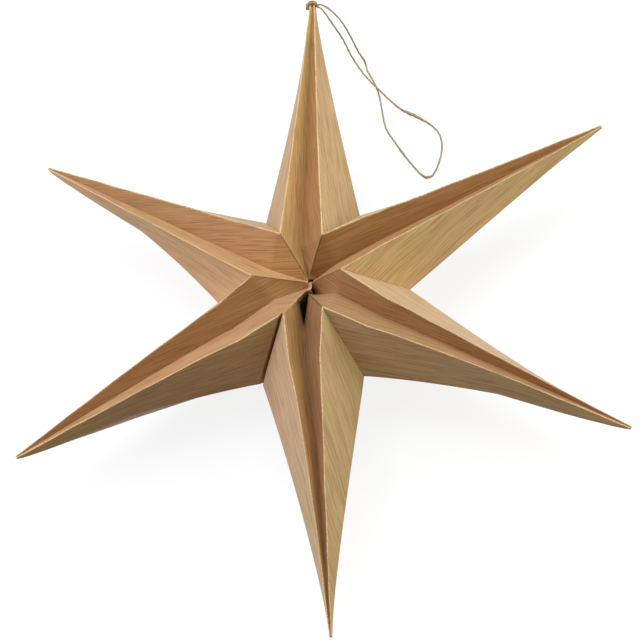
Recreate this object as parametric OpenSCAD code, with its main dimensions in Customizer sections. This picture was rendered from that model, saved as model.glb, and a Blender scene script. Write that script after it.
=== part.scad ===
// Folding star of six gusseted paper points, lying on its back with its twine hanger beside it

/* [Star] */
// Radius from the centre to the tip of a point
star_r = 300; // [240:5:360]
// Height of the front and back shoulders above the middle plane
shoulder_h = 58; // [48:1:68]
// Radius of the shoulders, where two neighbours part at the front and back
shoulder_r = 36; // [30:1:44]
// Radius of the notch, where two neighbours part in the middle plane
notch_r = 88; // [78:1:98]
// Height above the middle plane at which the gusset folds would meet the axis
valley_h = 41.5; // [36:0.5:46]
// Height of the rim of the opening at the hub above the middle plane
hub_h = 29; // [26:1:34]
// Apothem of the small opening between the points at the hub
hub_r = 4; // [3.5:0.5:6]

/* [Paper] */
// Thickness of the card that the points are folded from
paper_t = 0.5; // [0.3:0.05:0.8]
// Gap that the glue fills between two neighbours
glue_gap = 0.1; // [0.05:0.05:0.2]
// How strongly the sides pull in towards the tip, where 1 is straight
side_pull = 1.3; // [1:0.1:1.6]
// Length of the tip in which the layers of card lie closed on each other
closed_tip = 50; // [35:5:70]
// Width of a closed tip across its layers
tip_w = 2; // [1.6:0.1:3]
// Depth of a closed tip from front to back
tip_h = 4; // [3:0.5:6]

/* [Closing seam] */
// Width of the open seam between the first and the last point, in the middle plane
seam_gap = 3; // [2:0.5:5]
// Width of the open seam at its shoulders
seam_mouth = 1.9; // [1.5:0.1:3]
// How far the first point leans over the last one at the shoulders
seam_lean = 4.5; // [0:0.5:5]
// Radius of the shoulder of the first point at the open seam
lap_shoulder_r = 43; // [40:1:48]
// Radius of the shoulder of the last point at the open seam
last_shoulder_r = 38.5; // [36:0.5:42]
// Radius of the notch at the open seam
seam_notch_r = 94; // [88:1:100]
// How far the first point reaches across the opening at the hub
hub_lap = 6.5; // [1:0.5:7]
// How far the first point rises over the rim there
lap_rise = 3; // [1:0.5:4]
// Width of the first point there
lap_w = 6; // [4:0.5:6]
// Diameter of the closing dots that hold the open seam together
dot_d = 12; // [8:1:14]
// Room beside the closing dots in the open seam
dot_gap = 0.1; // [0.1:0.1:0.5]
// Distance from the notch at the open seam in to the middle of the closing dots
dot_back = 62; // [56:1:66]
// Height of the closing dots above and below the middle plane
dot_z = 9; // [8:1:12]

/* [Hanger] */
// Thickness of the twine
twine_d = 1.6; // [1.2:0.1:2]
// Room between the two strands, and round them in their hole
twine_gap = 0.15; // [0.1:0.05:0.3]
// Length by which the hanging point is longer than the others
tab_l = 6; // [4:1:10]
// Width of the hanging point's tip across its layers
tab_w = 4.4; // [4:0.2:6]
// Depth of the hanging point's tip from front to back
tab_h = 8; // [7:0.5:10]
// Distance from the end of the hanging tip to the middle of its hole
hole_back = 3; // [3:0.5:5]
// Length of the twine's tails beyond the knot
tail_l = 2; // [1:0.5:4]

/* [Hidden] */

point_count = 6;
half_a = 180 / point_count;
top_a = 90;
pitch_a = 360 / point_count;
closing_a = top_a - 3.5 * pitch_a;

// How each point has settled, in clockwise order from the top: sideways shift of its tip
tip_shift = [0, -7, 15, 15, -18, -2];
// Bow of its ridge folds half way along, where minus is inwards
ridge_bow = [-1, 0, -2, -2, 0, 0];
// Sideways shift of its valley folds at the shoulders
fold_shift = [-2, -2.5, 2.5, -1, 0, 4];
// Where its gusset folds end at the hub: how far out from the rim, and how far below it
hub_fold = [[0, 3], [4, 4], [8, 5], [0, 4], [0, 3], [0, 2]];
// Share of the way to the shoulders by which it is cut back there: gusset folds, right-hand ridges
hub_cut = [[0, 0], [0, 0], [0, 0], [0.93, 0.33], [0, 0], [0, 0]];
// How far beyond the shoulders its gusset folds straighten
fold_start = [0, 0, 0, 11, 0, 0];
// Pull of its left and its right side beyond side_pull
extra_pull = [[0, -0.15], [0, -0.2], [0.15, 0.2], [-0.1, -0.1], [0.15, 0], [0.45, 0.1]];
// How wide its left and its right side stay towards the tip, as a share of the width at the notch
tip_spread = [[0, 0], [0, 0], [0, 0.55], [0, 0], [0.56, 0], [0.48, 0]];
// How bluntly such a side ends
spread_pull = 0.65;
// How far further out its right-hand shoulders and its right-hand notch lie
shoulder_shift = [3, -0.5, 3, 0, 7, 6];
notch_shift = [0, 0, 3, 0, 0, 0];
// Below 1 the tip's shift sets in soon after the notch
shift_ease = 0.8;
// Share of a tip's depth that is left in its fold
tip_fold = 0.6;
// Steps along a point
steps = 12;

veneer_tan = [0.76, 0.60, 0.42];
twine_brown = [0.55, 0.44, 0.30];
dot_white = [0.90, 0.89, 0.86];

last_side = [last_shoulder_r, seam_notch_r, seam_gap, seam_mouth + 2 * seam_lean];
lap_side = [lap_shoulder_r, seam_notch_r, seam_gap, seam_mouth - 2 * seam_lean];
plain_tip = [star_r, tip_w, tip_h];
hanging_tip = [star_r + tab_l, tab_w, tab_h];

hole_d = 2 * twine_d + 3 * twine_gap;
hole_at = [0, hanging_tip.x - hole_back, shoulder_h];
strand_y = (twine_d + twine_gap) / 2;
knot_r = twine_d + 1.5 * twine_gap;
knot_side = glued_side(point_count - 1);
knot_s = 1 - (hole_back + knot_r + twine_d) / (hanging_tip.x - on_seam(knot_side[1], knot_side[2]).x);
knot_edge = flank_at(knot_side, hanging_tip, extra_pull[0][0], tip_spread[0][0], knot_s);
knot_x = -(knot_edge.y + twine_gap + twine_d / 2);
tail_x = knot_x - twine_d / 2 - tail_l;
rest_z = twine_d / 2;

// Route of the twine: near the hole as steps from its middle, and between along the floor
route_out = [
    [tail_x, strand_y, 0], [knot_x, strand_y, 0], [4, strand_y, 0],
    [9, 0.5, 0], [17, -4, -4], [26, -12, -14], [32, -20, -28]
];
route_floor = [
    [37, 275, 14], [42, 269, 3], [44, 260, 1.1], [50, 247, rest_z], [54, 236, rest_z],
    [57, 220, rest_z], [59, 205, rest_z], [62, 192, rest_z], [68, 181, rest_z],
    [76, 167, rest_z], [85, 153, rest_z], [94, 141, rest_z], [100, 137, rest_z],
    [106, 140, rest_z], [112, 153, rest_z], [115, 168, rest_z], [113, 182, rest_z],
    [105, 193, rest_z], [92, 203, rest_z], [78, 212, 0.9], [67, 223, 1.1],
    [60, 231, 2.1], [53.5, 238.5, 2.9], [47, 247, 2], [40, 257, 1.1], [33.5, 267, 5], [29, 273, 15]
];
route_back = [
    [24, -21, -30], [16, -12, -13], [9.5, -4.5, -2],
    [4, -strand_y, 0], [knot_x, -strand_y, 0], [tail_x, -strand_y, 0]
];
twine_route = concat(
    [for (p = route_out) hole_at + p],
    route_floor,
    [for (p = route_back) hole_at + p]
);
twine_sides = 8;

function lerp(a, b, s) = a + (b - a) * s;
function unit(v) = v / norm(v);
function flip(p) = [p.x, p.y, -p.z];
function across(p) = [p.x, -p.y, p.z];

// A point on a seam plane, moved off the plane by half of the gap there
function on_seam(r, gap) = [
    r * cos(half_a) + gap / 2 * sin(half_a),
    r * sin(half_a) - gap / 2 * cos(half_a)
];

// One side of a point is [shoulder radius, notch radius, gap in the middle plane, gap at the shoulders],
// and its tip is [reach, width, depth]
function glued_side(k) = [shoulder_r + shoulder_shift[k], notch_r + notch_shift[k], glue_gap, glue_gap];
function ridge_at(side, tip, bow, s) =
    let (foot = on_seam(side[0], side[3]))
    [
        lerp(foot.x, tip.x, s),
        lerp(foot.y, tip.y / 2, s) + 4 * bow * s * (1 - s),
        lerp(shoulder_h, tip.z / 2, s)
    ];
function flank_at(side, tip, pull, spread, s) =
    let (
        foot = on_seam(side[1], side[2]),
        share = max(pow(1 - s, side_pull + pull), spread * pow(1 - s, spread_pull))
    )
    [lerp(foot.x, tip.x, s), lerp(tip.y / 2, foot.y, share), 0];
function valley_at(k, tip, s) =
    let (x = lerp(shoulder_r * cos(half_a) + fold_start[k], tip.x, s))
    [x, fold_shift[k] * (1 - s), lerp(valley_h, tip_fold * tip.z / 2, x / tip.x)];

// Eight fold lines, round the section from the front valley
function section(valley, left_ridge, left_flank, right_ridge, right_flank) = [
    valley, left_ridge, left_flank, flip(left_ridge),
    flip(valley), flip(across(right_ridge)), across(right_flank), across(right_ridge)
];
function section_at(k, left, right, tip, s) = section(
    valley_at(k, tip, s),
    ridge_at(left, tip, ridge_bow[k], s), flank_at(left, tip, extra_pull[k][0], tip_spread[k][0], s),
    ridge_at(right, tip, ridge_bow[k], s), flank_at(right, tip, extra_pull[k][1], tip_spread[k][1], s)
);
function hub_section(k, left, right) =
    let (l = on_seam(hub_r / cos(half_a), left[2]), r = on_seam(hub_r / cos(half_a), right[2]))
    section(
        [hub_r + hub_fold[k][0], 0, hub_h - hub_fold[k][1]],
        [l.x, l.y, hub_h], [l.x, l.y, 0],
        [r.x, r.y, hub_h], [r.x, r.y, 0]
    );
// The end of the point that reaches across the opening
function lap_section(k, left, right) =
    let (
        l = on_seam(hub_r / cos(half_a), left[2]),
        r = on_seam(hub_r / cos(half_a), right[2]),
        h = hub_h + lap_rise
    )
    section(
        [hub_r - hub_lap, 0, h - hub_fold[k][1]],
        [l.x - hub_lap, lap_w / 2, h], [l.x - hub_lap, l.y, 0],
        [r.x - hub_lap, lap_w / 2, h], [r.x - hub_lap, r.y, 0]
    );
function cut_back(k, hub, shoulder) = [
    for (i = [0 : len(hub) - 1])
    lerp(hub[i], shoulder[i], i % 4 == 0 ? hub_cut[k][0] : i == 5 || i == 7 ? hub_cut[k][1] : 0)
];

// The same section, moved inwards by the thickness of the card
function inset(ring, t) = [
    for (i = [0 : len(ring) - 1])
    let (
        here = [ring[i].y, ring[i].z],
        last = ring[(i + len(ring) - 1) % len(ring)],
        next = ring[(i + 1) % len(ring)],
        a = unit(here - [last.y, last.z]),
        b = unit([next.y, next.z] - here),
        na = [a.y, -a.x],
        nb = [b.y, -b.x],
        move = t * (na + nb) / (1 + na * nb)
    )
    [ring[i].x, here.x + move.x, here.y + move.y]
];

// The tip swings sideways beyond the notch
function swung(ring, shift) =
    let (from = notch_r * cos(half_a))
    [for (p = ring) p + [0, shift * pow(max(0, p.x - from) / (star_r - from), shift_ease), 0]];

function centre_of(ring) = [for (k = [0 : 2]) ([for (p = ring) 1] * [for (p = ring) p[k]]) / len(ring)];

// Faces of the skin between rings of n points, where each second point of a ring is a ridge
// from which the faces spread, and of a fan that closes one ring
function skin(first, rings, n, inward) = [
    for (j = [0 : rings - 2], i = [0 : n - 1], half = [0, 1])
    let (
        a = first + j * n + i,
        b = first + j * n + (i + 1) % n,
        c = b + n,
        d = a + n,
        face = i % 2 == 1 ? (half == 0 ? [a, b, c] : [a, c, d]) : (half == 0 ? [a, b, d] : [b, c, d])
    )
    inward ? [face[2], face[1], face[0]] : face
];
function fan(first, n, hub, inward) = [
    for (i = [0 : n - 1])
    let (a = first + i, b = first + (i + 1) % n)
    inward ? [hub, b, a] : [hub, a, b]
];
function rim(outer, inner, n) = [
    for (i = [0 : n - 1], half = [0, 1])
    let (next = (i + 1) % n)
    half == 0 ? [outer + next, outer + i, inner + i] : [outer + next, inner + i, inner + next]
];

// A folded pouch of card that is open at its hub end, for point k of the fan
module pouch(k, left, right, tip, lapped) {
    end_rings = lapped ? [lap_section(k, left, right)] : [];
    hub = hub_section(k, left, right);
    hollow = 1 - closed_tip / (tip.x - shoulder_r * cos(half_a));
    free = [for (j = [0 : steps]) section_at(k, left, right, tip, j / steps)];
    free_inner = [for (j = [0 : steps]) inset(section_at(k, left, right, tip, hollow * j / steps), paper_t)];
    outer = concat(end_rings, [cut_back(k, hub, free[0])], free);
    inner = concat(
        [for (ring = end_rings) inset(ring, paper_t)],
        [cut_back(k, inset(hub, paper_t), free_inner[0])],
        free_inner
    );
    outer_skin = [for (ring = outer) swung(ring, tip_shift[k])];
    inner_skin = [for (ring = inner) swung(ring, tip_shift[k])];
    n = len(outer[0]);
    count = len(outer);
    inner_first = count * n + 1;
    inner_end = inner_first + count * n;
    polyhedron(
        points = concat(
            [for (ring = outer_skin) each ring], [centre_of(outer_skin[count - 1])],
            [for (ring = inner_skin) each ring], [centre_of(inner_skin[count - 1])]
        ),
        faces = concat(
            skin(0, count, n, false), fan((count - 1) * n, n, count * n, false),
            skin(inner_first, count, n, true), fan(inner_end - n, n, inner_end, true),
            rim(0, inner_first, n)
        )
    );
}

// Puts a point in its place in the fan, counted clockwise from the top
module in_fan(k) {
    color(veneer_tan)
        translate([0, 0, shoulder_h])
            rotate(top_a - k * pitch_a)
                children();
}

module point_top() {
    in_fan(0) difference() {
        pouch(0, glued_side(5), glued_side(0), hanging_tip, false);
        translate([hanging_tip.x - hole_back, 0, 0])
            rotate([90, 0, 0])
                cylinder(d = hole_d, h = 4 * tab_w, center = true, $fn = 32);
    }
}

module point_upper_right() {
    in_fan(1) pouch(1, glued_side(0), glued_side(1), plain_tip, false);
}

module point_lower_right() {
    in_fan(2) pouch(2, glued_side(1), glued_side(2), plain_tip, false);
}

module point_bottom() {
    in_fan(3) pouch(3, glued_side(2), last_side, plain_tip, false);
}

module point_lower_left() {
    in_fan(4) pouch(4, lap_side, glued_side(4), plain_tip, true);
}

module point_upper_left() {
    in_fan(5) pouch(5, glued_side(4), glued_side(5), plain_tip, false);
}

module closing_dots() {
    color(dot_white)
        for (z = [-dot_z, dot_z])
            translate([0, 0, shoulder_h + z])
                rotate(closing_a)
                    translate([seam_notch_r - dot_back, 0, 0])
                        rotate([90, 0, 0])
                            cylinder(d = dot_d, h = seam_gap - 2 * dot_gap, center = true, $fn = 48);
}

// Catmull-Rom curve through the route's points, with one more point half way along each stretch
function half_way(route, i) =
    let (last = route[max(i - 1, 0)], after = route[min(i + 2, len(route) - 1)])
    (9 * (route[i] + route[i + 1]) - last - after) / 16;
function curve(route) = [
    for (i = [0 : len(route) - 1])
    each i < len(route) - 1 ? [route[i], half_way(route, i)] : [route[i]]
];

module tube(path, d, n) {
    count = len(path);
    rings = [
        for (i = [0 : count - 1])
        let (
            along = unit(path[min(i + 1, count - 1)] - path[max(i - 1, 0)]),
            side = unit(cross([0, 0, 1], along)),
            up = cross(along, side)
        )
        [for (k = [0 : n - 1]) path[i] + d / 2 * (side * sin(360 * k / n) + up * cos(360 * k / n))]
    ];
    polyhedron(
        points = concat([for (ring = rings) each ring], [path[0], path[count - 1]]),
        faces = concat(
            skin(0, count, n, true),
            fan(0, n, count * n, false),
            fan((count - 1) * n, n, count * n + 1, true)
        )
    );
}

module hanging_twine() {
    color(twine_brown)
        tube(curve(twine_route), twine_d, twine_sides);
}

// Turns of twine drawn tight round both strands, against the side of the hanging tip
module twine_knot() {
    color(twine_brown)
        translate(hole_at + [knot_x, 0, 0])
            rotate([0, 90, 0])
                rotate_extrude($fn = 32)
                    translate([knot_r + twine_d / 2, 0])
                        circle(d = twine_d, $fn = 16);
}

point_top();
point_upper_right();
point_lower_right();
point_bottom();
point_lower_left();
point_upper_left();
closing_dots();
hanging_twine();
twine_knot();
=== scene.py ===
# Folding star of six gusseted paper points, lying on its back with its jute hanger beside it
import math
import random

import bpy
import numpy as np
from mathutils import Matrix, Vector, noise


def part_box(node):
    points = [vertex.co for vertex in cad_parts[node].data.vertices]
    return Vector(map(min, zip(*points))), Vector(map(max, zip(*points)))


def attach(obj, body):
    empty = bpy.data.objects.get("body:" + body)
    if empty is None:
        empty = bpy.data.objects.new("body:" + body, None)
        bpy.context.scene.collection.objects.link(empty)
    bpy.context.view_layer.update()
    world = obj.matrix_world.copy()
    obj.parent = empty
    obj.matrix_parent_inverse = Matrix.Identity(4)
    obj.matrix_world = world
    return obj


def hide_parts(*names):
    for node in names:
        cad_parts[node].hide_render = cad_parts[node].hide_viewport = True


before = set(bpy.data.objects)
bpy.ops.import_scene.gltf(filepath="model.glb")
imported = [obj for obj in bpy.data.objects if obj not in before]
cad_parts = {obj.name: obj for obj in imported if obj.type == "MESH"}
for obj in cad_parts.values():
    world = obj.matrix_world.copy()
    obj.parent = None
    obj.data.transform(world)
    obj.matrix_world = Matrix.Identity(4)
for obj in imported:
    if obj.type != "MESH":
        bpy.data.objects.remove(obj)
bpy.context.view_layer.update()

scene = bpy.context.scene
topLow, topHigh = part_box("point_top")
midHeight = (topLow.z + topHigh.z) / 2    # the star's middle plane
print("frame loaded:", len(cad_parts), "solids")


# camera, worked out from the fold lines of the star
viewpoint = {
    "place": (0.2204, -0.4656, 1.1991),
    "along": (-0.1722, 0.3563, -0.9184),
    "up": (0.0674, 0.9344, 0.3499),
    "lens": 78.89,
    "sensor": 36.0,
}


def addObject(name, data):
    made = bpy.data.objects.new(name, data)
    scene.collection.objects.link(made)
    return made


def makeCamera():
    lens = bpy.data.cameras.new("viewpoint")
    lens.lens = viewpoint["lens"]
    lens.sensor_width = viewpoint["sensor"]
    along = Vector(viewpoint["along"]).normalized()
    right = along.cross(Vector(viewpoint["up"])).normalized()
    turn = Matrix((right, right.cross(along), -along)).transposed()
    camera = addObject("viewpoint", lens)
    camera.matrix_world = Matrix.Translation(viewpoint["place"]) @ turn.to_4x4()
    scene.camera = camera


makeCamera()
print("camera placed")


# one output socket of a material; sums and products of wires become Math nodes
class Wire:
    def __init__(self, tree, socket=None):
        self.tree = tree
        self.socket = socket

    # any node: its settings come first, then the values or wires of its sockets
    def node(self, kind, settings=None, inputs=None, output=0):
        made = self.tree.nodes.new(kind)
        for name, value in (settings or {}).items():
            setattr(made, name, value)
        for name, value in (inputs or {}).items():
            if isinstance(value, Wire):
                self.tree.links.new(value.socket, made.inputs[name])
            else:
                made.inputs[name].default_value = value
        return Wire(self.tree, made.outputs[output]) if made.outputs else None

    def other(self, output):    # another output of the same node
        return Wire(self.tree, self.socket.node.outputs[output])

    def math(self, operation, first, second):
        return self.node("ShaderNodeMath", {"operation": operation}, {0: first, 1: second})

    def __add__(self, value):
        return self.math("ADD", self, value)

    def __radd__(self, value):
        return self.math("ADD", value, self)

    def __sub__(self, value):
        return self.math("SUBTRACT", self, value)

    def __rsub__(self, value):
        return self.math("SUBTRACT", value, self)

    def __mul__(self, value):
        return self.math("MULTIPLY", self, value)

    def __rmul__(self, value):
        return self.math("MULTIPLY", value, self)

    def atMost(self, value):
        return self.math("MINIMUM", self, value)

    def atLeast(self, value):
        return self.math("MAXIMUM", self, value)

    def clamped(self):
        return self.atMost(1.0).atLeast(0.0)

    def absolute(self):
        return self.math("ABSOLUTE", self, 0.0)

    def ramp(self, start, end):    # 0 before start, 1 after end, and smooth between them
        return self.node(
            "ShaderNodeMapRange",
            {"interpolation_type": "SMOOTHSTEP"},
            {"Value": self, "From Min": start, "From Max": end},
        )

    def times(self, scale):    # a vector with each part scaled
        return self.node("ShaderNodeVectorMath", {"operation": "MULTIPLY"}, {0: self, 1: scale})

    def noise(self, detail, roughness=0.5):
        return self.node(
            "ShaderNodeTexNoise",
            {"noise_dimensions": "3D"},
            {"Vector": self, "Scale": 1.0, "Detail": detail, "Roughness": roughness},
        )

    def colourMix(self, blend, share, first, second):    # inputs 6 and 7 and output 2 take colours
        return self.node(
            "ShaderNodeMix", {"data_type": "RGBA", "blend_type": blend}, {0: share, 6: first, 7: second}, 2
        )

    def mix(self, first, second):    # two colours, with this wire as the share of the second
        return self.colourMix("MIX", self, first, second)

    def tinted(self, tint):    # a colour times another
        return self.colourMix("MULTIPLY", 1.0, self, tint)

    def bump(self, strength, depth):
        return self.node("ShaderNodeBump", {}, {"Strength": strength, "Distance": depth, "Height": self})


def newMaterial(name):
    material = bpy.data.materials.new(name)
    material.use_nodes = True
    material.node_tree.nodes.clear()
    return material, Wire(material.node_tree)


def attribute(wire, name):
    return wire.node("ShaderNodeAttribute", {"attribute_name": name}, {}, "Vector")


def finishMaterial(wire, shader):
    wire.node("ShaderNodeOutputMaterial", {}, {"Surface": shader})


def finishSurface(wire, colour, roughness, gloss, bump):
    finishMaterial(wire, wire.node(
        "ShaderNodeBsdfPrincipled", {},
        {"Base Color": colour, "Roughness": roughness, "Specular IOR Level": gloss, "Normal": bump},
    ))


# jute twine: colours, and the sizes of its fibres in mm
jute = {
    "light": (0.58, 0.40, 0.21, 1),
    "dark": (0.26, 0.16, 0.078, 1),
    "fibreLength": 5.0,
    "fibreWidth": 0.14,
    "patchScale": (0.06, 0.2, 1),
    "plyShade": (-0.2, 0.75),    # heights on a ply between which dark turns to light
    "share": {"height": 0.62, "fibre": 0.45, "patch": 0.3},    # of each in the tone
    "toneDrop": 0.22,
    "roughness": 0.85,
    "gloss": 0.25,
    "bump": 0.5,
    "bumpDepth": 0.0002,
}


def makeJute():
    material, wire = newMaterial("juteTwine")
    lay = attribute(wire, "lay")    # mm along the fibres, mm across them, height on the ply from 0 to 1
    parts = wire.node("ShaderNodeSeparateXYZ", {}, {0: lay})
    along, across, height = parts, parts.other("Y"), parts.other("Z")
    plane = wire.node("ShaderNodeCombineXYZ", {}, {"X": along, "Y": across, "Z": 0.0})
    fibre = plane.times((1 / jute["fibreLength"], 1 / jute["fibreWidth"], 1)).noise(3.0, 0.6)
    patch = plane.times(jute["patchScale"]).noise(1.0)
    share = jute["share"]
    shade = height.ramp(*jute["plyShade"]) * share["height"] + fibre * share["fibre"]
    shade = shade + patch * share["patch"] - jute["toneDrop"]
    colour = shade.clamped().mix(jute["dark"], jute["light"])
    bump = fibre.bump(jute["bump"], jute["bumpDepth"])
    finishSurface(wire, colour, jute["roughness"], jute["gloss"], bump)
    return material


juteMaterial = makeJute()


# hanging loop: its route in metres, near the hole as steps from the hole's middle
twine = {
    "diameter": 0.0016,
    "strandGap": 0.00015,
    "holeBack": 0.0030,    # from the end of the top tip
    "plies": 3,
    "plyDepth": 0.2,
    "plyPitch": 0.0075,
    "ringStep": 0.0006,
    "sides": 18,
    "uneven": 0.16,
    "unevenScale": 160,
    "slubs": (    # thick places: place along the twine, reach and swelling
        (0.3245, 0.013, 0.85), (0.2385, 0.005, 0.6), (0.2010, 0.006, 0.35), (0.0880, 0.004, 0.3),
    ),
    "firstSide": (0.3, 0.2, 1.0),    # any direction but that of a route's start
}
hole = Vector((0, topHigh.y - twine["holeBack"], midHeight))
knotLow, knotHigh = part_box("twine_knot")
knotX = (knotLow.x + knotHigh.x) / 2
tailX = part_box("hanging_twine")[0].x
strandY = (twine["diameter"] + twine["strandGap"]) / 2
restZ = twine["diameter"] / 2
routeOut = [
    (tailX, strandY, 0), (knotX, strandY, 0), (0.004, strandY, 0), (0.009, 0.0005, 0),
    (0.017, -0.004, -0.004), (0.026, -0.012, -0.014), (0.032, -0.020, -0.028),
]
routeFloor = [
    (0.037, 0.275, 0.014), (0.042, 0.269, 0.003), (0.044, 0.260, 0.0011), (0.050, 0.247, restZ),
    (0.054, 0.236, restZ), (0.057, 0.220, restZ), (0.059, 0.205, restZ), (0.062, 0.192, restZ),
    (0.068, 0.181, restZ), (0.076, 0.167, restZ), (0.085, 0.153, restZ), (0.094, 0.141, restZ),
    (0.100, 0.137, restZ), (0.106, 0.140, restZ), (0.112, 0.153, restZ), (0.115, 0.168, restZ),
    (0.113, 0.182, restZ), (0.105, 0.193, restZ), (0.092, 0.203, restZ), (0.078, 0.212, 0.0009),
    (0.067, 0.223, 0.0011), (0.060, 0.231, 0.0021), (0.0535, 0.2385, 0.0029), (0.047, 0.247, 0.002),
    (0.040, 0.257, 0.0011), (0.0335, 0.267, 0.005), (0.029, 0.273, 0.015),
]
routeBack = [
    (0.024, -0.021, -0.030), (0.016, -0.012, -0.013), (0.0095, -0.0045, -0.002),
    (0.004, -strandY, 0), (knotX, -strandY, 0), (tailX, -strandY, 0),
]


def smoothRoute(points, perStretch=12):    # Catmull-Rom curve through the points
    path = []
    last = len(points) - 1
    for i in range(last):
        before, here, after, later = (np.array(points[min(max(i + k, 0), last)]) for k in (-1, 0, 1, 2))
        for t in np.arange(perStretch) / perStretch:
            path.append(0.5 * (
                2 * here + (after - before) * t
                + (2 * before - 5 * here + 4 * after - later) * t ** 2
                + (3 * here - before - 3 * after + later) * t ** 3
            ))
    return np.array(path + [points[last]])


def evenRoute(path):    # the same line with points an even step apart
    run = np.concatenate(([0], np.cumsum(np.linalg.norm(np.diff(path, axis=0), axis=1))))
    places = np.linspace(0, run[-1], int(run[-1] / twine["ringStep"]) + 1)
    return np.stack([np.interp(places, run, path[:, k]) for k in range(3)], 1), places


def carriedFrames(path):    # side and up directions that don't spin along the line
    ahead = np.gradient(path, axis=0)
    ahead /= np.linalg.norm(ahead, axis=1)[:, None]
    side = np.cross(ahead[0], twine["firstSide"])
    sides = []
    for direction in ahead:
        side = side - direction * (side @ direction)
        side /= np.linalg.norm(side)
        sides.append(side)
    sides = np.array(sides)
    return ahead, sides, np.cross(ahead, sides)


def tubeFaces(rings, sides):
    faces = []
    for j in range(rings - 1):
        for i in range(sides):
            a, b = j * sides + i, j * sides + (i + 1) % sides
            faces.append((a, b, b + sides, a + sides))
    faces.append(tuple(range(sides))[::-1])
    faces.append(tuple(range((rings - 1) * sides, rings * sides)))
    return faces


def vectorAttribute(mesh, name, domain, values):
    made = mesh.attributes.new(name, "FLOAT_VECTOR", domain)
    made.data.foreach_set("vector", np.asarray(values, np.float32).ravel())


def addMesh(name, verts, faces, material):
    mesh = bpy.data.meshes.new(name)
    mesh.from_pydata([tuple(v) for v in verts], [], faces)
    mesh.polygons.foreach_set("use_smooth", [True] * len(mesh.polygons))
    mesh.materials.append(material)
    mesh.update()
    return addObject(name, mesh)


# plies of jute twisted together round a path, thicker at its slubs
def twistedTwine(name, path, run, seed, slubs=()):
    ahead, side, up = carriedFrames(path)
    angles = np.arange(twine["sides"]) / twine["sides"] * math.tau
    verts, lays = [], []
    for p, s, u, along in zip(path, side, up, run):
        swell = 1 + twine["uneven"] * noise.noise((along * twine["unevenScale"], seed, 0))
        for place, reach, rise in slubs:
            swell += rise * math.exp(-((along - place) / reach) ** 2)
        twist = along / twine["plyPitch"] * math.tau
        crest = 0.5 + 0.5 * np.cos(twine["plies"] * angles - twist)
        reach = twine["diameter"] / 2 * swell * (1 + twine["plyDepth"] * (crest - 0.5))
        ring = p + np.outer(np.cos(angles) * reach, s) + np.outer(np.sin(angles) * reach, u)
        ring[:, 2] -= min(0, ring[:, 2].min())    # a thick place rests on the floor
        verts.append(ring)
        around = (angles - twist / twine["plies"]) * twine["diameter"] / 2
        lays.append(np.stack((np.full_like(angles, along * 1000 + seed), around * 1000, crest), 1))
    verts, lays = np.concatenate(verts), np.concatenate(lays)
    piece = addMesh(name, verts, tubeFaces(len(path), twine["sides"]), juteMaterial)
    vectorAttribute(piece.data, "lay", "POINT", lays)
    return piece


# loose jute fibres that stand off the twine, each a thin bent sliver
hair = {
    "count": 620,
    "length": 0.0032,
    "lengths": (0.4, 1.3),    # least and greatest share of that length
    "width": 0.00009,
    "taper": 0.75,
    "lift": (0.25, 0.8),
    "droop": 0.4,
    "curl": 0.35,
    "root": 0.36,    # of the twine's diameter, from its middle
    "bareRings": 8,    # at both ends of the twine
    "steps": 5,
    "crest": 0.8,    # as light as this height on a ply
    "layStep": (3.1, 0.2),    # sets the colour of each hair apart
    "seed": 7,
}


def looseHairs(name, path):
    draw = random.Random(hair["seed"])
    ahead, side, up = carriedFrames(path)
    verts, faces, lays = [], [], []
    steps = hair["steps"]
    for k in range(hair["count"]):
        i = draw.randrange(hair["bareRings"], len(path) - hair["bareRings"])
        turn = draw.uniform(0, math.tau)
        out = math.cos(turn) * side[i] + math.sin(turn) * up[i]
        way = ahead[i] * draw.choice((-1, 1))
        length = hair["length"] * draw.uniform(*hair["lengths"])
        lift = draw.uniform(*hair["lift"])
        curl = np.array([draw.uniform(-hair["curl"], hair["curl"]) for _ in range(3)])
        start = path[i] + out * twine["diameter"] * hair["root"]
        across = np.cross(way, out)
        first = len(verts)
        for j in range(steps + 1):
            t = j / steps
            spine = start + length * (way * t + out * lift * t * (1 - hair["droop"] * t) + curl * t * t)
            spine[2] = max(spine[2], hair["width"])
            half = hair["width"] * (1 - hair["taper"] * t) / 2
            for corner in (across, -0.5 * across + 0.87 * out, -0.5 * across - 0.87 * out):    # a triangle
                verts.append(spine + corner * half)
                lays.append((k * hair["layStep"][0] + t, k * hair["layStep"][1], hair["crest"]))
        for j in range(steps):
            for c in range(3):
                a, b = first + j * 3 + c, first + j * 3 + (c + 1) % 3
                faces.append((b, a, a + 3, b + 3))
        faces.append((first, first + 1, first + 2))
        faces.append((first + steps * 3 + 2, first + steps * 3 + 1, first + steps * 3))
    piece = addMesh(name, verts, faces, juteMaterial)
    vectorAttribute(piece.data, "lay", "POINT", lays)
    return piece


def makeTwine():
    points = [tuple(hole + Vector(p)) for p in routeOut] + routeFloor
    points += [tuple(hole + Vector(p)) for p in routeBack]
    path, run = evenRoute(smoothRoute(points))
    piece = twistedTwine("twine_loop", path, run, 0.0, twine["slubs"])
    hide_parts("hanging_twine")
    hairs = looseHairs("twine_hairs", path)
    return piece, hairs, path, run[-1]


# stopper knot: turns of twine drawn tight round both strands
knot = {
    "turns": 2.0,
    "pitch": 0.00125,
    "tuck": 0.35,    # turns over which an end dives under
    "dive": 0.45,    # of the ring's radius
    "sway": 0.0002,
    "swayPace": 9,
    "steps": 90,
    "seed": 31.0,
}


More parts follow.
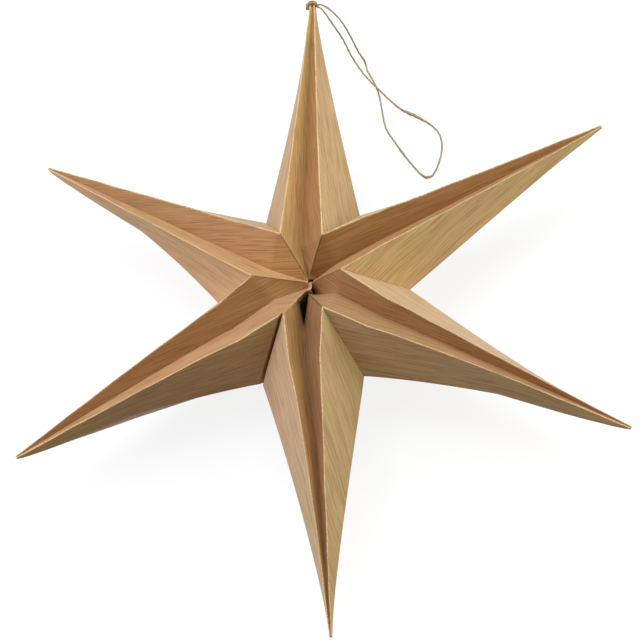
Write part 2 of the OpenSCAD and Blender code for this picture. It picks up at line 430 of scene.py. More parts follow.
def makeKnot():
    ring = (knotHigh.z - knotLow.z - twine["diameter"]) / 2
    middle = Vector((knotX, hole.y, hole.z))
    turns = np.linspace(0, knot["turns"] + 2 * knot["tuck"], knot["steps"])
    path = []
    for t in turns:
        fromEnd = min(t, turns[-1] - t)
        dive = max(0, 1 - fromEnd / knot["tuck"])
        reach = ring * (1 - knot["dive"] * dive * dive)
        turn = t * math.tau
        x = -knot["pitch"] * (t - knot["tuck"]) + knot["sway"] * math.sin(t * knot["swayPace"])
        path.append(middle + Vector((x, reach * math.cos(turn), reach * math.sin(turn))))
    path, run = evenRoute(np.array([tuple(p) for p in path]))
    piece = twistedTwine("stopper_knot", path, run, knot["seed"])
    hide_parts("twine_knot")
    return piece


# two turns drawn over the front of the tip, as steps from the hole's middle
hitch = {
    "route": (
        (-0.0034, -0.0006, 0.0020), (-0.0037, 0.0, 0.0042), (-0.0022, 0.0005, 0.0060),
        (0.0, 0.0007, 0.0064), (0.0022, 0.0005, 0.0060), (0.0037, 0.0, 0.0042),
        (0.0040, -0.0003, 0.0020), (0.0034, -0.0005, 0.0006),
    ),
    "spread": 0.0009,
    "seeds": {1: 59.0, -1: 41.0},
}


def makeHitch(name, side):
    offset = side * hitch["spread"]
    points = [tuple(hole + Vector((x, y + offset, z))) for x, y, z in hitch["route"]]
    path, run = evenRoute(smoothRoute(points))
    return twistedTwine(name, path, run, hitch["seeds"][side])


twineLoop, twineHairs, twinePath, twineLength = makeTwine()
stopperKnot = makeKnot()
hitchTurns = [makeHitch("hitch_upper", 1), makeHitch("hitch_lower", -1)]
for piece in (twineLoop, twineHairs, stopperKnot, *hitchTurns):
    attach(piece, "root")
print("twine laid,", round(twineLength, 3), "m")


# card with a wood-grain face: colours, and the sizes of its grain in mm
veneer = {
    "light": (0.630, 0.418, 0.218, 1),
    "dark": (0.400, 0.222, 0.096, 1),
    "pore": (0.215, 0.115, 0.050, 1),
    "paintedValleyShade": (0.190, 0.100, 0.045, 1),
    "rosy": (1.03, 0.97, 0.97, 1),
    "honey": (0.98, 1.02, 0.92, 1),
    "bareFold": (0.860, 0.610, 0.330, 1),
    "gusset": (0.72, 0.59, 0.49),    # painted light and shade: tints that make the folded-in panels darker and warmer, and the outer panels below paler
    "side": (1.015, 1.06, 1.07),
    "grain": {    # length and width of the streaks, then seed, detail and roughness of the noise
        "fibre": (18.0, 0.5, 7.3, 2.0, 0.6),
        "streak": (75.0, 0.95, 3.1, 3.0, 0.65),
        "crisp": (34.0, 0.85, 13.3, 1.0, 0.5),
        "line": (150.0, 2.6, 9.7, 1.0, 0.5),
        "band": (170.0, 8.0, 1.7, 1.0, 0.5),
        "pore": (7.0, 0.55, 11.9, 1.0, 0.5),
    },
    "share": {"fibre": 1.0, "streak": 1.6, "band": 0.6, "line": 0.25, "crisp": 0.6},    # in the tone
    "toneDrop": 0.78,
    "lineWidth": 0.05,
    "crispEdge": (0.50, 0.62),
    "poreEdge": (0.70, 0.80),
    "poreBands": (0.35, 0.6),
    "poreDark": 0.75,
    "waveScale": (0.011, 0.035, 3.7),    # slow bends of the grain
    "waveSize": 7.0,
    "patchScale": (0.007, 0.016, 5.3),    # rosy and honey patches
    "patchEdge": (0.35, 0.65),
    "paintedValleyShadeReach": (0.2, 1.8),    # of the painted shade, from the valley fold
    "paintedValleyShadeDark": 0.3,
    "wearReach": (0.5, 1.7),    # from the ridge fold
    "flakeScale": (0.75, 0.75, 2.3),    # where the face has cracked off a fold
    "flakeEdge": (0.40, 0.54),
    "stretchScale": (0.055, 0.03, 4.1),    # stretches of a fold that are worn more
    "stretchEdge": (0.30, 0.52),
    "leastWear": (0.2, 0.4),    # between flakes, and on the stretches that are worn less
    "mostWear": 0.9,
    "roughness": 0.56,
    "roughStreak": 0.14,
    "roughFold": 0.12,
    "gloss": 0.4,
    "bump": 0.25,
    "bumpDepth": 0.00015,
    "relief": {"fibre": 0.5, "streak": 0.5, "pore": 0.8, "flake": 0.6},
}


def makeVeneer():
    material, wire = newMaterial("veneerCard")
    tintAndPaintedShade = attribute(wire, "tintAndPaintedShade")    # hue of each panel, with painted light and shade on it
    grain = attribute(wire, "grain")    # mm along the grain, mm across it, number of the point and panel
    folds = wire.node("ShaderNodeSeparateXYZ", {}, {0: attribute(wire, "folds")})
    toRidge, toValley, edge = folds, folds.other("Y"), folds.other("Z")

    def patches(scale, detail=1.0, roughness=0.5):
        return grain.times(veneer[scale]).noise(detail, roughness)

    wave = (patches("waveScale") - 0.5) * veneer["waveSize"]
    bend = wire.node("ShaderNodeCombineXYZ", {}, {"X": 0.0, "Y": wave, "Z": 0.0})
    bent = wire.node("ShaderNodeVectorMath", {"operation": "ADD"}, {0: grain, 1: bend})
    layers = {}
    for name, (length, width, seed, detail, roughness) in veneer["grain"].items():
        layers[name] = bent.times((1 / length, 1 / width, seed)).noise(detail, roughness)
    fibre, streak, band = layers["fibre"], layers["streak"], layers["band"]
    line = 1 - (layers["line"] - 0.5).absolute().ramp(0.0, veneer["lineWidth"])
    crisp = layers["crisp"].ramp(*veneer["crispEdge"])
    pores = layers["pore"].ramp(*veneer["poreEdge"]) * band.ramp(*veneer["poreBands"])

    share = veneer["share"]
    tone = fibre * share["fibre"] + streak * share["streak"] + band * share["band"]
    tone = tone - line * share["line"] - crisp * share["crisp"] - veneer["toneDrop"]
    face = tone.clamped().mix(veneer["dark"], veneer["light"])
    patch = patches("patchScale").ramp(*veneer["patchEdge"])
    face = face.tinted(patch.mix(veneer["rosy"], veneer["honey"])).tinted(tintAndPaintedShade)
    face = (pores * veneer["poreDark"]).mix(face, veneer["pore"])
    # painted shade: the card turns darker towards the valley folds
    paintedValleyShade = (1 - toValley.ramp(*veneer["paintedValleyShadeReach"])) * veneer["paintedValleyShadeDark"]
    face = paintedValleyShade.mix(face, veneer["paintedValleyShade"])

    # the face cracks off the ridge folds and shows the bare card
    flake = patches("flakeScale", 3.0, 0.7)
    stretch = patches("stretchScale")
    least, leastStretch = veneer["leastWear"]
    cracks = 1 - toRidge.ramp(*veneer["wearReach"])
    cracks = cracks * (least + flake.ramp(*veneer["flakeEdge"]) * (1 - least))
    cracks = cracks * (leastStretch + stretch.ramp(*veneer["stretchEdge"]) * (1 - leastStretch))
    bare = cracks.atLeast(edge)
    face = bare.atMost(veneer["mostWear"]).mix(face, veneer["bareFold"])
    roughness = veneer["roughness"] + (streak - 0.5) * veneer["roughStreak"] + bare * veneer["roughFold"]
    relief = veneer["relief"]
    height = fibre * relief["fibre"] + streak * relief["streak"] - pores * relief["pore"]
    height = height + flake * bare * relief["flake"]
    bump = height.bump(veneer["bump"], veneer["bumpDepth"])
    finishSurface(wire, face, roughness, veneer["gloss"], bump)
    return material


veneerMaterial = makeVeneer()

# sizes that all six points share, in metres
card = {
    "thickness": 0.0005,
    "glueGap": 0.0002,
    "shoulderHeight": midHeight,
    "shoulderRadius": 0.036,
    "notchRadius": 0.088,
    "valleyHeight": 0.0415,    # of the gusset folds, if they ran on to the axis
    "hubHeight": 0.029,
    "lapRise": 0.003,
    "lapEnds": ((0.0058, -0.0066), (0.0050, 0.0012)),    # left and right corner of the end that laps over
    "sidePull": 1.3,
    "spreadPull": 0.65,    # of the sides that stay wide towards the tip
    "closedTip": 0.050,
    "pocketReach": (0.005, 0.010),    # of the shade at the pocket's left and right edges
    "tipFold": 0.6,
    "shiftEase": 0.8,
    "plainReach": 0.300,
    "foldSetback": (0.0004, 0.0007, 0.0030),    # rounding of valley, ridge and side folds
    "setbackShare": 0.3,    # of a panel's width at most
    "innerSetback": 0.25,    # of the rounding, on the inside
    "hubRings": 9,
    "rings": 66,
    "innerRings": 18,
    "nearRows": ((0.0015, 0.12), (0.004, 0.25)),    # beside a fold: distance, and share of the panel at most
    "middleRows": (0.25, 0.5, 0.75),
    "wave": 0.0007,    # how far the card bulges between folds
    "waveScale": 24,
    "waveEase": 4,    # rings from the hub over which the bulge grows
    "fullWave": 0.025,    # narrower panels bulge less
    "wobble": 0.0004,    # how far the ridge folds stray
    "wobbleScale": 11,
    "wobbleEase": 6,
    "seeds": {"wave": 4.7, "wavePanel": 5.1, "wobble": 9.1, "wobbleFold": 3.7, "wobbleAxis": 1.3},
    "farOff": 0.050,    # from a fold, where nothing of it shows
    "bareRim": 0.6,    # how much of the cut edge at the hub is bare
    "pocketDark": 0.85,
    "pocketFall": 1.5,
    "paintedSeamShade": 0.75,
    "seamShades": (0.15, 0.6, 1, 0.6, 0.15),    # across a glued ridge
    "sharpTurn": 38,    # degrees between faces that makes a hard edge
}
# hue tints, given by panel
panelHues = {
    "plain": (1, 1, 1),
    "pink": (0.96, 1.0, 1.21),
    "olive": (0.97, 1.08, 1.06),
    "russet": (1.04, 0.96, 0.84),
    "umber": (1.12, 0.95, 0.64),
    "amber": (1.0, 0.99, 0.84),
}
plainTip = {"reach": card["plainReach"], "width": 0.002, "depth": 0.004}
hangingTip = {"reach": topHigh.y, "width": 0.0044, "depth": 0.008}
# glued seams by the hour on a clock face: where they end at the hub, and how far
# the shoulder and the notch lie beyond the shared radius
seams = {
    1: {"hub": (0.0019, 0.0057), "shoulder": 0.0030, "notch": 0},
    3: {"hub": (0.0051, 0.0018), "shoulder": -0.0005, "notch": 0},
    5: {"hub": (0.0017, -0.0089), "shoulder": 0.0030, "notch": 0.0030},
    9: {"hub": (0.0010, 0.0015), "shoulder": 0.0070, "notch": 0},
    11: {"hub": (0.0009, 0.0050), "shoulder": 0.0060, "notch": 0},
}
# the seam at seven is open and leans
openSide = {"notch": 0.094, "gap": 0.003}
lastSide = openSide | {"hub": (-0.0030, -0.0060), "shoulder": 0.0385, "mouth": 0.0109}
lapSide = openSide | {"hub": (0.0004, -0.0070), "shoulder": 0.0430, "mouth": -0.0071}


def gluedSide(hour, lean=0):
    seam = seams[hour]
    return {
        "hub": seam["hub"],
        "shoulder": card["shoulderRadius"] + seam["shoulder"],
        "notch": card["notchRadius"] + seam["notch"],
        "gap": card["glueGap"],
        "mouth": card["glueGap"] + 2 * lean,
    }


# what a point has unless its own entry says otherwise
plainPoint = {
    "tip": plainTip, "lapped": False, "cut": (0, 0), "foldStart": 0, "tipShift": 0, "ridgeBow": 0,
    "foldShift": 0, "spread": (0, 0),
    "gussetPaintedLight": (1, 1, 1),    # painted light and shade: brightness of the right gusset at hub, shoulder and tip
}
# the points in clockwise order; left is counterclockwise, and grain turns are in degrees
# for the left gusset, left side, right side and right gusset, as are the panel hues and the tones, which
# paint light and shade on each panel
points = {
    "point_top": plainPoint | {
        "tip": hangingTip, "left": gluedSide(11, 0.0033), "right": gluedSide(1), "ridgeBow": -0.001,
        "foldShift": 0.0035, "hubFold": (0, 0.003), "extraPull": (0, -0.15), "grain": (5, -2, -3, -13),
        "tone": (1.42, 0.83, 0.97, 0.85), "hues": ("olive", "plain", "plain", "russet"),
    },
    "point_upper_right": plainPoint | {
        "left": gluedSide(1), "right": gluedSide(3), "tipShift": -0.007,
        "foldShift": -0.0025, "hubFold": (0.004, 0.004), "extraPull": (0, -0.2), "grain": (-5, 0, 2, -6),
        "tone": (0.66, 1.0, 1.10, 1.02), "hues": ("umber", "plain", "plain", "plain"),
    },
    "point_lower_right": plainPoint | {
        "left": gluedSide(3), "right": gluedSide(5), "tipShift": 0.015, "ridgeBow": -0.002,
        "foldShift": 0.0025, "hubFold": (0.002, 0.014), "extraPull": (0.15, 0.2),
        "spread": (0, 0.55), "grain": (6, -8, 0, -14),
        "tone": (1.04, 1.08, 0.96, 1.05), "hues": ("plain", "pink", "plain", "pink"),
    },
    "point_bottom": plainPoint | {
        "left": gluedSide(5), "right": lastSide, "cut": (0.93, 0.33), "foldStart": 0.011,
        "tipShift": 0.015, "ridgeBow": -0.002, "foldShift": -0.001, "hubFold": (0, 0.004),
        "extraPull": (-0.1, -0.1), "grain": (8, -41, -1, -6),
        "tone": (0.70, 0.87, 1.04, 1.09), "hues": ("plain", "plain", "pink", "plain"),
    },
    "point_lower_left": plainPoint | {
        "left": lapSide, "right": gluedSide(9), "lapped": True, "tipShift": -0.018,
        "hubFold": (0, 0.003), "extraPull": (0.15, 0), "spread": (0.56, 0), "grain": (-15, -2, 0, 11),
        "tone": (1.19, 0.80, 1.0, 0.91), "hues": ("pink", "russet", "plain", "russet"),
    },
    "point_upper_left": plainPoint | {
        "left": gluedSide(9), "right": gluedSide(11, -0.0033), "tipShift": -0.002,
        "foldShift": 0.004, "hubFold": (0, 0.002), "extraPull": (0.45, 0.1), "spread": (0.48, 0),
        "grain": (-3, -7, 0, -20), "gussetPaintedLight": (1.32, 1.14, 0.83),
        "tone": (1.40, 1.08, 0.98, 0.96), "hues": ("pink", "plain", "plain", "amber"),
    },
}
halfTurn = math.pi / len(points)
mirrorY = np.array((1, -1, 1))
mirrorZ = np.array((1, 1, -1))
valleyFolds, ridgeFolds = (0, 4), (1, 3, 5, 7)    # the others are the side folds
gussetPanels = (0, 3, 4, 7)    # a panel has the number of the fold that it starts at


def lerp(a, b, s):
    return a + (b - a) * s


def seamPoint(radius, gap):    # a point on a seam plane, moved off it by half of the gap
    return (
        radius * math.cos(halfTurn) + gap / 2 * math.sin(halfTurn),
        radius * math.sin(halfTurn) - gap / 2 * math.cos(halfTurn),
    )


def ridgeLine(side, tip, bow, s):
    x, y = seamPoint(side["shoulder"], side["mouth"])
    sideways = lerp(y, tip["width"] / 2, s) + 4 * bow * s * (1 - s)
    height = lerp(card["shoulderHeight"], tip["depth"] / 2, s)
    return np.stack((lerp(x, tip["reach"], s), sideways, height), -1)


def flankLine(side, tip, pull, spread, s):
    x, y = seamPoint(side["notch"], side["gap"])
    share = np.maximum((1 - s) ** (card["sidePull"] + pull), spread * (1 - s) ** card["spreadPull"])
    return np.stack((lerp(x, tip["reach"], s), lerp(tip["width"] / 2, y, share), 0 * s), -1)


def valleyLine(point, s):
    tip = point["tip"]
    x = lerp(card["shoulderRadius"] * math.cos(halfTurn) + point["foldStart"], tip["reach"], s)
    height = lerp(card["valleyHeight"], card["tipFold"] * tip["depth"] / 2, x / tip["reach"])
    return np.stack((x, point["foldShift"] * (1 - s), height), -1)


# eight fold lines round the section, from the front valley by the left side to the back
def eightFolds(valley, leftRidge, leftFlank, rightRidge, rightFlank):
    rightRidge, rightFlank = rightRidge * mirrorY, rightFlank * mirrorY
    return np.stack((
        valley, leftRidge, leftFlank, leftRidge * mirrorZ,
        valley * mirrorZ, rightRidge * mirrorZ, rightFlank, rightRidge,
    ), -2)


def freeFolds(point, s):    # beyond the shoulders
    tip = point["tip"]
    return eightFolds(
        valleyLine(point, s),
        ridgeLine(point["left"], tip, point["ridgeBow"], s),
        flankLine(point["left"], tip, point["extraPull"][0], point["spread"][0], s),
        ridgeLine(point["right"], tip, point["ridgeBow"], s),
        flankLine(point["right"], tip, point["extraPull"][1], point["spread"][1], s),
    )


def hubFolds(point, lapped):
    height = card["hubHeight"] + (card["lapRise"] if lapped else 0)
    cosine, sine = math.cos(point["turn"]), math.sin(point["turn"])
    ends = card["lapEnds"] if lapped else (point["left"]["hub"], point["right"]["hub"])
    corners = []
    for (x, y), side, mirror in zip(ends, (point["left"], point["right"]), (1, -1)):
        x, y = x * cosine + y * sine, (y * cosine - x * sine) * mirror
        x, y = x + side["gap"] / 2 * math.sin(halfTurn), y - side["gap"] / 2 * math.cos(halfTurn)
        corners += [np.array((x, y, height)), np.array((x, y, 0))]
    out, down = point["hubFold"]
    valley = (corners[0] + corners[2] * mirrorY) / 2 + np.array((out, 0, -down))
    return eightFolds(valley, *corners)


# fold lines from the hub to the tip, one section after another, each moved in by the inset
def allFolds(point, rings, end, inset):
    free = insetFolds(freeFolds(point, np.linspace(0, end, rings)), inset)
    hub = insetFolds(hubFolds(point, False)[None], inset)[0]
    gussets, ridges = point["cut"]    # how far the gusset folds and right-hand ridges are cut back
    cut = np.array((gussets, 0, 0, 0, gussets, ridges, 0, ridges))[:, None]
    sections = list(insetFolds(hubFolds(point, True)[None], inset)) if point["lapped"] else []
    steps = np.arange(card["hubRings"]) / card["hubRings"]
    sections += [lerp(hub, free[0], lerp(cut, 1, t)) for t in steps]
    return np.array(sections + list(free)), len(sections)


def insetFolds(folds, thickness):    # the same sections, moved inwards by the card's thickness
    flat = folds[..., 1:]
    before, after = np.roll(flat, 1, 1), np.roll(flat, -1, 1)
    a, b = flat - before, after - flat
    a /= np.linalg.norm(a, axis=-1)[..., None]
    b /= np.linalg.norm(b, axis=-1)[..., None]
    na, nb = np.stack((a[..., 1], -a[..., 0]), -1), np.stack((b[..., 1], -b[..., 0]), -1)
    move = thickness * (na + nb) / (1 + (na * nb).sum(-1))[..., None]
    return np.concatenate((folds[..., :1], flat + move), -1)


arcSteps = (0, 0.25, 0.5, 0.75, 1)    # round a fold
foldSpan = len(arcSteps) + 2 * len(card["nearRows"]) + len(card["middleRows"])
ringSize = 8 * foldSpan
panelOfSegment = [
    panel % 8 for corner in range(8)
    for panel in [corner - 1] * 2 + [corner] * (foldSpan - 2)
]


# points round each section with rounded folds, and how far each lies from its ridge and its valley
def roundedRings(folds, setback):
    after = np.roll(folds, -1, 1)
    way = after - folds
    width = np.linalg.norm(way, axis=-1)
    way /= width[..., None]
    kinds = [setback[k] for k in (0, 1, 2, 1, 0, 1, 2, 1)]
    most = card["setbackShare"] * width
    back = np.minimum(np.minimum(kinds, most), np.roll(most, 1, 1))
    spots, ridges, valleys, shares = [], [], [], []
    far = np.full(len(folds), card["farOff"])
    for c in range(8):
        here, d = folds[:, c], back[:, c][:, None]
        start, end = here - way[:, c - 1] * d, here + way[:, c] * d
        for t in arcSteps:
            spots.append((1 - t) ** 2 * start + 2 * t * (1 - t) * here + t * t * end)
            off = abs(2 * t - 1) * back[:, c]
            ridges.append(off if c in ridgeFolds else width[:, c - (t < 0.5)])
            valleys.append(off if c in valleyFolds else far)
            shares.append(0 * off)
        following = (c + 1) % 8
        free = width[:, c] - back[:, c] - back[:, following]
        near = [np.minimum(distance / free, limit) for distance, limit in card["nearRows"]]
        middle = [lerp(near[-1], 1 - near[-1], k) for k in card["middleRows"]]
        for share in near + middle + [1 - k for k in near[::-1]]:
            spots.append(end + way[:, c] * (free * share)[:, None])
            fromStart = back[:, c] + free * share
            fromEnd = width[:, c] - fromStart
            ridges.append(fromStart if c in ridgeFolds else fromEnd)
            toValley = fromEnd if following in valleyFolds else far
            valleys.append(fromStart if c in valleyFolds else toValley)
            shares.append(4 * share * (1 - share) * np.minimum(1, width[:, c] / card["fullWave"]))
    return np.stack(spots, 1), np.stack(ridges, 1), np.stack(valleys, 1), np.stack(shares, 1)


def wobbled(folds, glued, seed):    # ridge folds that stray a little between shoulder and tip
    strayed = folds.copy()
    count = len(folds) - glued
    for j in range(glued, len(folds)):
        s = (j - glued) / (count - 1)
        size = card["wobble"] * min(1, card["wobbleEase"] * s, card["wobbleEase"] * (1 - s))
        for c in ridgeFolds:
            for axis in (1, 2):
                lane = c * card["seeds"]["wobbleFold"] + axis * card["seeds"]["wobbleAxis"]
                strayed[j, c, axis] += size * noise.noise((s * card["wobbleScale"], lane, seed))
    return strayed


# bulge the card gently between its folds, but not where it is glued to its neighbour
def waved(spots, shares, glued, seed):
    along = np.gradient(spots, axis=0)
    around = np.roll(spots, -1, 1) - np.roll(spots, 1, 1)
    out = np.cross(around, along)
    out /= np.maximum(np.linalg.norm(out, axis=-1), 1e-9)[..., None]
    bulge = np.zeros(spots.shape[:2])
    for j in range(1, len(spots)):
        for i in range(ringSize):
            panel = panelOfSegment[i]
            if shares[j, i] > 0 and (j > glued or panel in gussetPanels):
                x, y, z = spots[j, i] * card["waveScale"]
                bulge[j, i] = noise.noise((x, y + panel * card["seeds"]["wavePanel"], z + seed))
    hold = np.minimum(1, np.arange(len(spots)) / card["waveEase"])[:, None]
    return spots + out * (card["wave"] * bulge * shares * hold)[..., None]


def swung(spots, shift):    # the tip swings sideways beyond the notch
    start = card["notchRadius"] * math.cos(halfTurn)
    share = np.maximum(0, spots[..., 0] - start) / (card["plainReach"] - start)
    moved = spots.copy()
    moved[..., 1] += shift * share ** card["shiftEase"]
    return moved


# a plane for each of the eight panels: start, direction of the grain and direction across it
def panelPlanes(point):
    start, end = freeFolds(point, np.array(0.0)), freeFolds(point, np.array(1.0))
    # folds of each panel: its valley or side fold, and its ridge
    lines = ((0, 1), (2, 1), (2, 3), (4, 3), (4, 5), (6, 5), (6, 7), (0, 7))
    leftGusset, leftSide, rightSide, rightGusset = point["grain"]
    leftTurns = (leftGusset, leftSide, rightSide, -rightGusset)
    rightTurns = (-leftGusset, leftSide, rightSide, rightGusset)
    planes = []
    for (axis, ridge), degrees in zip(lines, leftTurns + rightTurns):
        along = end[axis] - start[axis]
        along /= np.linalg.norm(along)
        across = start[ridge] - start[axis]
        across -= along * (across @ along)
        across /= np.linalg.norm(across)
        turn = math.radians(degrees)
        planes.append((
            start[axis],
            along * math.cos(turn) + across * math.sin(turn),
            across * math.cos(turn) - along * math.sin(turn),
        ))
    return [np.array(part) for part in zip(*planes)]


def skinFaces(first, rings, inward):
    faces, panels = [], []
    for j in range(rings - 1):
        for i in range(ringSize):
            a, b = first + j * ringSize + i, first + j * ringSize + (i + 1) % ringSize
            face = (a, b, b + ringSize, a + ringSize)
            faces.append(face if inward else face[::-1])
            panels.append(panelOfSegment[i])
    return faces, panels


def capFaces(first, centre, inward):
    faces = []
    for i in range(ringSize):
        a, b = first + i, first + (i + 1) % ringSize
        faces.append((centre, a, b) if inward else (centre, b, a))
    return faces, list(panelOfSegment)


def rimFaces(outer, inner):
    faces = []
    for i in range(ringSize):
        k = (i + 1) % ringSize
        faces.append((outer + i, outer + k, inner + k, inner + i))
    return faces, list(panelOfSegment)


def fromLine(spots, start, end):
    way = end - start
    share = np.clip((spots - start) @ way / (way @ way), 0, 1)
    return np.linalg.norm(spots - start - share[:, None] * way, axis=1)


# 1 at the edges of the pocket, front and back, falling to 0 over its left and its right reach
def pocketShade(hub, verts):
    shade = np.zeros(len(verts))
    for valley, left, right in ((0, 1, 7), (4, 3, 5)):
        for ridge, reach in ((left, card["pocketReach"][0]), (right, card["pocketReach"][1])):
            away = fromLine(verts, hub[valley], hub[ridge])
            shade = np.maximum(shade, np.clip(1 - away / reach, 0, 1) ** card["pocketFall"])
    return shade


# 1 on the ridges that are glued to a neighbour, between hub and shoulder, where shade is painted into the
# joint
def gluedRidges(point, shape, glued):
    seam = np.zeros(shape)
    for side, corners in (("left", (1, 3)), ("right", (5, 7))):
        if point[side]["gap"] == card["glueGap"]:
            for corner in corners:
                first = corner * foldSpan
                seam[:glued, first:first + len(arcSteps)] = card["seamShades"]
    return seam.ravel()


# vertices and faces of the outer skin, its end, the inner skin, its end and the rim at the hub
def pouchMesh(outer, inner):
    outerEnd = len(outer) * ringSize
    innerFirst = outerEnd + 1
    innerEnd = innerFirst + len(inner) * ringSize
    verts = np.concatenate((
        outer.reshape(-1, 3), outer[-1].mean(0)[None], inner.reshape(-1, 3), inner[-1].mean(0)[None],
    ))
    faces, panels = [], []
    for some, theirs in (
        skinFaces(0, len(outer), False), capFaces(outerEnd - ringSize, outerEnd, False),
        skinFaces(innerFirst, len(inner), True), capFaces(innerEnd - ringSize, innerEnd, True),
        rimFaces(0, innerFirst),
    ):
        faces += some
        panels += theirs
    return verts, faces, panels


# mm along and across the grain in the plane of each panel, and a number for the point and panel
def panelGrain(point, number, spots, panel):
    origin, along, across = panelPlanes(point)
    away = spots - origin[panel]
    steps = [(away * way[panel]).sum(1) * 1000 for way in (along, across)]
    return np.stack((*steps, number * 8.0 + panel), 1)


# tints of the panels: hues, and painted light and shade by panel and along the right gusset
def panelTints(point, rings, panel):
    tints = []
    for k in range(8):
        # painted light and shade: the gusset or side tint and the tone of each panel
        kind = veneer["gusset" if k in gussetPanels else "side"]
        tints.append(np.array(kind) * point["tone"][k % 4] * np.array(panelHues[point["hues"][k % 4]]))
    tints = np.array(tints)[panel]
    atHub, atShoulder, atTip = point["gussetPaintedLight"]
    gussetPaintedLight = np.where(rings < 0, atHub, lerp(atShoulder, atTip, np.clip(rings / card["rings"], 0, 1)))
    tints[panel == 7] *= gussetPaintedLight[panel == 7][:, None]
    return tints


def makePoint(name, point, number):
    seeds = card["seeds"]
    reach = point["tip"]["reach"] - card["shoulderRadius"] * math.cos(halfTurn)
    folds, glued = allFolds(point, card["rings"], 1.0, 0)
    hollow = 1 - card["closedTip"] / reach
    innerFolds = allFolds(point, card["innerRings"], hollow, card["thickness"])[0]
    strayed = wobbled(folds, glued, number * seeds["wobble"])
    spots, ridges, valleys, shares = roundedRings(strayed, card["foldSetback"])
    outer = swung(waved(spots, shares, glued, number * seeds["wave"]), point["tipShift"])
    innerSetback = [setback * card["innerSetback"] for setback in card["foldSetback"]]
    inner = swung(roundedRings(innerFolds, innerSetback)[0], point["tipShift"])
    verts, faces, panels = pouchMesh(outer, inner)
    corners = np.array([k for face in faces for k in face])
    panel = np.array([p for face, p in zip(faces, panels) for _ in face])

    # how near the folds are, with painted shade in the joint in place of a worn fold at the glued seams
    count = ridges.size
    seam = np.zeros(len(verts))
    seam[:count] = gluedRidges(point, ridges.shape, glued)
    near = np.full((len(verts), 3), card["farOff"] * 1000)
    near[:count, 0] = ridges.ravel() * 1000
    near[:count, 1] = valleys.ravel() * 1000
    near[seam > 0, 0] += card["farOff"] * 1000
    near[:, 2] = 0
    near[:ringSize, 2] = 0 if any(point["cut"]) else card["bareRim"]
    tints = panelTints(point, (np.arange(len(verts)) // ringSize - glued)[corners], panel)
    if any(point["cut"]):    # painted shade: the card darkens into the pocket that is cut back at the hub
        tints *= 1 - card["pocketDark"] * pocketShade(folds[0], verts)[corners][:, None]
    # painted shade along the glued joints
    tints *= 1 - card["paintedSeamShade"] * seam[corners][:, None]

    place = Matrix.Translation((0, 0, midHeight)) @ Matrix.Rotation(point["turn"], 4, "Z")
    placed = verts @ np.array(place.to_3x3()).T + np.array(place.translation)
    piece = addMesh(name.replace("point", "star_point"), placed, faces, veneerMaterial)
    vectorAttribute(piece.data, "grain", "CORNER", panelGrain(point, number, verts[corners], panel))
    vectorAttribute(piece.data, "tintAndPaintedShade", "CORNER", tints)
    vectorAttribute(piece.data, "folds", "CORNER", near[corners])
    return piece


# hole for the twine through the closed tip
drill = {
    "sides": 40,
    "halfLength": 0.012,
    "slack": 1.5,    # strand gaps
}


def drillTip(piece):
    radius = twine["diameter"] + drill["slack"] * twine["strandGap"]
    turns = [k / drill["sides"] * math.tau for k in range(drill["sides"])]
    ring = [(math.cos(turn) * radius, math.sin(turn) * radius) for turn in turns]
    ends = (-drill["halfLength"], drill["halfLength"])
    verts = [hole + Vector((x, y, z)) for x in ends for y, z in ring]
    bit = addMesh("drill", verts, tubeFaces(2, drill["sides"]), veneerMaterial)
    cut = piece.modifiers.new("hole", "BOOLEAN")
    cut.operation = "DIFFERENCE"
    cut.solver = "EXACT"
    cut.object = bit
    bpy.context.view_layer.update()
    drilled = bpy.data.meshes.new_from_object(piece.evaluated_get(bpy.context.evaluated_depsgraph_get()))
    piece.modifiers.clear()
    piece.data = drilled
    bpy.data.objects.remove(bit)


def creaseEdges(piece):    # hard edges where faces turn sharply
    limit = math.radians(card["sharpTurn"])
    mesh = piece.data
    turns = {}
    for face in mesh.polygons:
        for key in face.edge_keys:
            turns.setdefault(key, []).append(face.normal)
    for edge in mesh.edges:
        normals = turns[edge.key]
        edge.use_edge_sharp = len(normals) == 2 and normals[0].angle(normals[1], 0) > limit


for number, (name, point) in enumerate(points.items()):
    point["turn"] = math.pi / 2 - number * 2 * halfTurn
    piece = makePoint(name, point, number)
    if name == "point_top":
        drillTip(piece)
    creaseEdges(piece)
    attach(piece, "root")
    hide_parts(name)
print("six points folded")


# closing dots: felt-like fastener discs in the open seam
dots = {
    "light": (0.80, 0.78, 0.72, 1),
    "dark": (0.55, 0.52, 0.46, 1),
    "loopSize": 0.0007,
    "fluffScale": 900.0,
    "share": {"loops": 0.7, "fluff": 0.5},    # of each in the shade
    "roughness": 0.9,
    "gloss": 0.5,
    "bump": 0.6,
    "bumpDepth": 0.0003,
}


def dressDots():
    material, wire = newMaterial("closingDots")
    spot = wire.node("ShaderNodeTexCoord", {}, {}, "Object")
    loops = wire.node("ShaderNodeTexVoronoi", {}, {"Vector": spot, "Scale": 1 / dots["loopSize"]})
    fluff = wire.node(
        "ShaderNodeTexNoise", {}, {"Vector": spot, "Scale": dots["fluffScale"], "Detail": 4.0}
    )
    shade = (loops * dots["share"]["loops"] + fluff * dots["share"]["fluff"]).atMost(1.0)
    colour = shade.mix(dots["light"], dots["dark"])
    bump = shade.bump(dots["bump"], dots["bumpDepth"])
    finishSurface(wire, colour, dots["roughness"], dots["gloss"], bump)
    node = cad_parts["closing_dots"]
    node.data.materials.clear()
    node.data.materials.append(material)


dressDots()
print("closing dots dressed")


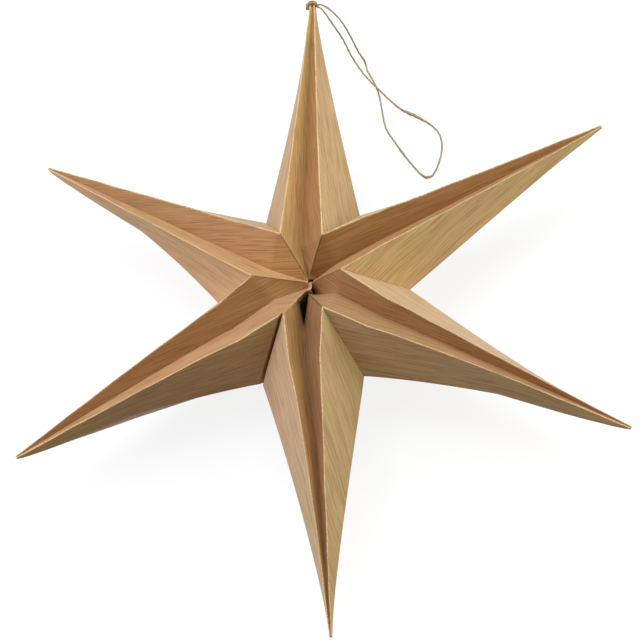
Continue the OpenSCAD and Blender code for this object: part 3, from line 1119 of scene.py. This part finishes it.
# pale floor and soft lamps
studio = {
    "floorSize": 12.0,
    "floorDrop": 0.0003,
    "floorTone": (0.2, 0.2, 0.2, 1),
    "floorGlow": 0.85,
    "white": (1, 1, 1, 1),
    "hubShade": (0.035, 0.060),    # the floor under the hub doesn't glow through the slit
    "farWhite": (1.0, 2.0),    # the floor turns plain white away from the lamps
    "ambient": (1.0, 0.95, 0.90, 1),
    "ambientLevel": 0.045,
    "lampReach": 1.9,    # from the middle of the star
    "lampSize": 1.5,
    "lamps": {    # bearing and height in degrees, light in watts of red, green and blue
        "topLamp": {"bearing": 93, "height": 57, "watts": (26, 31.5, 33)},
        "leftHighLamp": {"bearing": 180, "height": 50, "watts": (15.7, 12, 13.3)},
        "leftLowLamp": {"bearing": 180, "height": 18, "watts": (12.4, 12.9, 13)},
        "rightLamp": {"bearing": 0, "height": 18, "watts": (27, 25.8, 20.5)},
    },
}


def seenDirectly(wire):    # 1 for rays from the camera, and for what gloss and glass show
    path = wire.node("ShaderNodeLightPath", {}, {}, "Is Camera Ray")
    return path.atLeast(path.other("Is Glossy Ray")).atLeast(path.other("Is Transmission Ray"))


def makeFloor():
    half = studio["floorSize"] / 2
    low = -studio["floorDrop"]
    corners = [(-half, -half, low), (half, -half, low), (half, half, low), (-half, half, low)]
    material, wire = newMaterial("paleFloor")
    matte = wire.node("ShaderNodeBsdfDiffuse", {}, {"Color": studio["floorTone"]})
    glow = wire.node("ShaderNodeEmission", {}, {"Color": studio["white"], "Strength": studio["floorGlow"]})
    bright = wire.node("ShaderNodeAddShader", {}, {0: matte, 1: glow})
    spot = wire.node("ShaderNodeNewGeometry", {}, {}, "Position")
    fromHub = wire.node("ShaderNodeVectorMath", {"operation": "LENGTH"}, {0: spot}, "Value")
    seen = seenDirectly(wire)
    near = wire.node(
        "ShaderNodeMixShader", {}, {0: seen * fromHub.ramp(*studio["hubShade"]), 1: matte, 2: bright}
    )
    white = wire.node("ShaderNodeEmission", {}, {"Color": studio["white"], "Strength": 1.0})
    far = seen * fromHub.ramp(*studio["farWhite"])
    finishMaterial(wire, wire.node("ShaderNodeMixShader", {}, {0: far, 1: near, 2: white}))
    addMesh("floor", corners, [(0, 1, 2, 3)], material)


def makeWorld():
    world = bpy.data.worlds.new("studioWorld")
    scene.world = world
    world.use_nodes = True
    world.node_tree.nodes.clear()
    wire = Wire(world.node_tree)
    soft = wire.node(
        "ShaderNodeBackground", {}, {"Color": studio["ambient"], "Strength": studio["ambientLevel"]}
    )
    white = wire.node("ShaderNodeBackground", {}, {"Color": studio["white"], "Strength": 1.0})
    both = wire.node("ShaderNodeMixShader", {}, {0: seenDirectly(wire), 1: soft, 2: white})
    wire.node("ShaderNodeOutputWorld", {}, {"Surface": both})


def direction(bearing, height):    # both in degrees
    bearing, height = math.radians(bearing), math.radians(height)
    level = math.cos(height)
    return Vector((math.cos(bearing) * level, math.sin(bearing) * level, math.sin(height)))


def makeLamps():
    middle = Vector((0, 0, midHeight))
    for name, lamp in studio["lamps"].items():
        away = direction(lamp["bearing"], lamp["height"])
        light = bpy.data.lights.new(name, "AREA")
        light.shape = "SQUARE"
        light.size = studio["lampSize"]
        light.energy = max(lamp["watts"])
        light.color = [watts / light.energy for watts in lamp["watts"]]
        made = addObject(name, light)
        made.location = middle + away * studio["lampReach"]
        made.rotation_euler = (-away).to_track_quat("-Z", "Y").to_euler()


makeFloor()
makeWorld()
makeLamps()
scene.view_settings.view_transform = "Standard"
print("studio lit")
